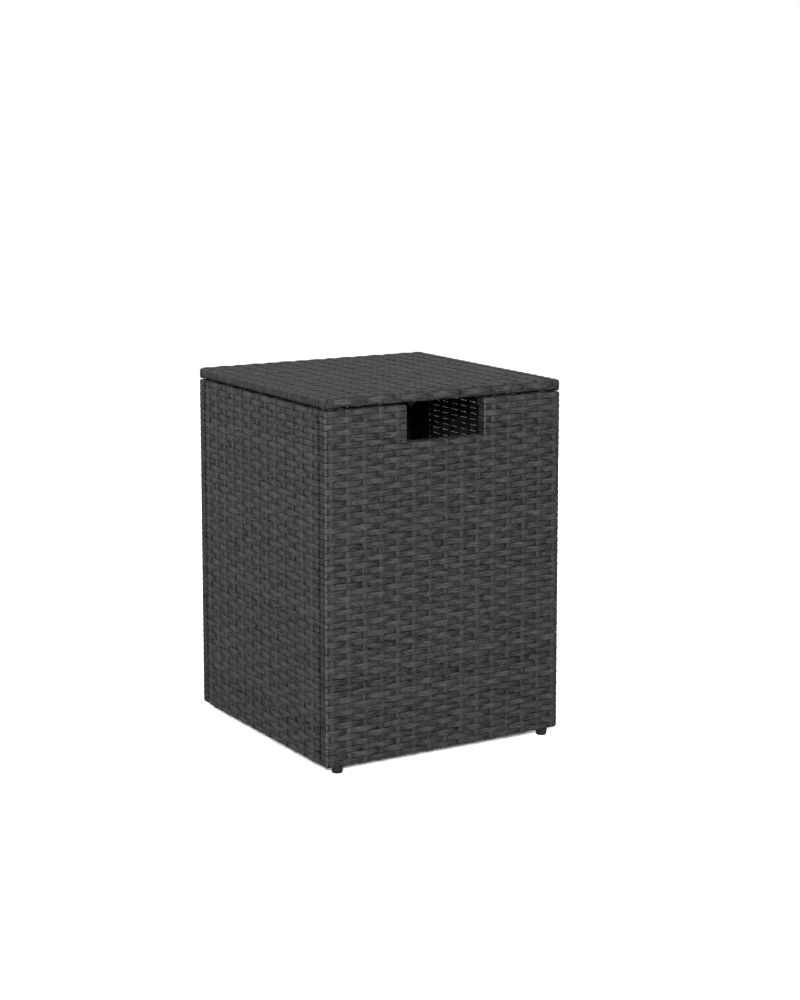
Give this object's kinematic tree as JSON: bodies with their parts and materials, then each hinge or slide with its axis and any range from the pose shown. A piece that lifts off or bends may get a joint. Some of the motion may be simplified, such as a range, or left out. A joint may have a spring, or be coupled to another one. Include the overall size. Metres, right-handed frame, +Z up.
{
  "type": "propane tank cover table",
  "caption": "Square woven cover for a gas bottle, open underneath, with finger notches at the top of its front and back walls and a lift-off woven table top.",
  "frame": {"origin": "on the ground under the middle of the table, level with the underside of the feet", "axes": "+Z up; -Y towards the front, the wall that faces the viewer with its finger notch; +X to the right seen from the front"},
  "size_m": [0.42, 0.42, 0.57],
  "materials": {
    "strand": "semi-gloss, finely grained flat strand, dark charcoal",
    "frame_paint": "satin black powder coat",
    "zinc_steel": "bright zinc plating",
    "black_plastic": "moulded, matt"
  },
  "bodies": {
    "base": {"front_frame": "frame_paint", "front_weave": "strand", "front_left_lower_insert": "zinc_steel", "front_left_lower_washer": "zinc_steel", "front_left_lower_bolt": "zinc_steel", "front_right_lower_insert": "zinc_steel", "front_right_lower_washer": "zinc_steel", "front_right_lower_bolt": "zinc_steel", "front_left_upper_insert": "zinc_steel", "front_left_upper_washer": "zinc_steel", "front_left_upper_bolt": "zinc_steel", "front_right_upper_insert": "zinc_steel", "front_right_upper_washer": "zinc_steel", "front_right_upper_bolt": "zinc_steel", "front_left_foot": "black_plastic", "front_right_foot": "black_plastic", "back_frame": "frame_paint", "back_weave": "strand", "back_left_lower_insert": "zinc_steel", "back_left_lower_washer": "zinc_steel", "back_left_lower_bolt": "zinc_steel", "back_right_lower_insert": "zinc_steel", "back_right_lower_washer": "zinc_steel", "back_right_lower_bolt": "zinc_steel", "back_left_upper_insert": "zinc_steel", "back_left_upper_washer": "zinc_steel", "back_left_upper_bolt": "zinc_steel", "back_right_upper_insert": "zinc_steel", "back_right_upper_washer": "zinc_steel", "back_right_upper_bolt": "zinc_steel", "back_left_foot": "black_plastic", "back_right_foot": "black_plastic", "left_frame": "frame_paint", "left_weave": "strand", "right_frame": "frame_paint", "right_weave": "strand"},
    "lid": {"lid_frame": "frame_paint", "lid_weave": "strand", "front_left_peg": "black_plastic", "front_right_peg": "black_plastic", "back_left_peg": "black_plastic", "back_right_peg": "black_plastic"}
  },
  "joints": [
    {"name": "lid_lift", "type": "slide", "parent": "base", "child": "lid", "axis": [0, 0, 1], "range_m": [0, 0.1]}
  ]
}
